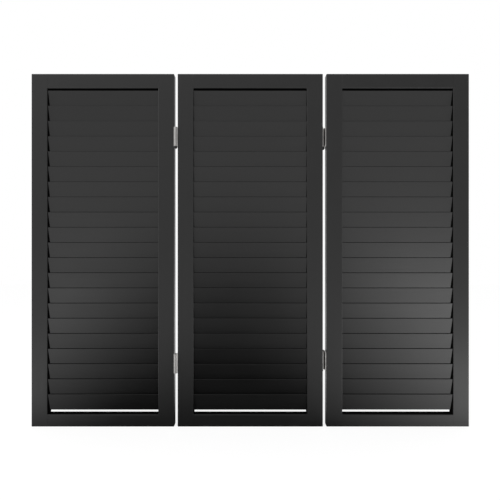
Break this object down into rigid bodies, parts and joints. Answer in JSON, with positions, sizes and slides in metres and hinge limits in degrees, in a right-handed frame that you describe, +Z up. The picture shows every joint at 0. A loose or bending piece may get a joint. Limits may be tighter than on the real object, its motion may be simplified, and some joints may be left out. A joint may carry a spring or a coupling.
{
  "type": "folding screen",
  "caption": "Low folding screen of louvred wooden panels in black paint, hinged edge to edge so that it folds flat in a zigzag.",
  "frame": {"origin": "on the floor, under the middle of the middle panel", "axes": "+X to the right as seen from the front, +Y towards the back, +Z up; the front faces -Y"},
  "size_m": [1.4882, 0.05, 1.2],
  "materials": {
    "painted_frame": "satin black paint over planed softwood, faint grain",
    "painted_slats": "satin black paint over thin planed boards, grain along the slat",
    "hinge_steel": "dull zinc-plated steel",
    "pin_steel": "blackened steel pin with a painted head"
  },
  "bodies": {
    "middle_panel": {"middle_panel_left_stile": "painted_frame", "middle_panel_right_stile": "painted_frame", "middle_panel_top_rail": "painted_frame", "middle_panel_bottom_rail": "painted_frame", "middle_panel_upper_slats": "painted_slats", "middle_panel_centre_slats": "painted_slats", "middle_panel_lower_slats": "painted_slats", "lower_left_hinge_middle_panel_leaf": "hinge_steel", "lower_left_hinge_pin": "pin_steel", "upper_left_hinge_middle_panel_leaf": "hinge_steel", "upper_left_hinge_pin": "pin_steel", "lower_right_hinge_middle_panel_leaf": "hinge_steel", "lower_right_hinge_pin": "pin_steel", "upper_right_hinge_middle_panel_leaf": "hinge_steel", "upper_right_hinge_pin": "pin_steel"},
    "left_panel": {"left_panel_outer_stile": "painted_frame", "left_panel_hinge_stile": "painted_frame", "left_panel_top_rail": "painted_frame", "left_panel_bottom_rail": "painted_frame", "left_panel_upper_slats": "painted_slats", "left_panel_centre_slats": "painted_slats", "left_panel_lower_slats": "painted_slats", "lower_left_hinge_left_panel_leaf": "hinge_steel", "upper_left_hinge_left_panel_leaf": "hinge_steel"},
    "right_panel": {"right_panel_hinge_stile": "painted_frame", "right_panel_outer_stile": "painted_frame", "right_panel_top_rail": "painted_frame", "right_panel_bottom_rail": "painted_frame", "right_panel_upper_slats": "painted_slats", "right_panel_centre_slats": "painted_slats", "right_panel_lower_slats": "painted_slats", "lower_right_hinge_right_panel_leaf": "hinge_steel", "upper_right_hinge_right_panel_leaf": "hinge_steel"}
  },
  "joints": [
    {"name": "left_panel_fold", "type": "hinge", "parent": "middle_panel", "child": "left_panel", "pos_m": [-0.25305, -0.019, 0], "axis": [0, 0, 1], "range_deg": [-12, 180]},
    {"name": "right_panel_fold", "type": "hinge", "parent": "middle_panel", "child": "right_panel", "pos_m": [0.25305, 0.019, 0], "axis": [0, 0, 1], "range_deg": [-12, 180]}
  ]
}
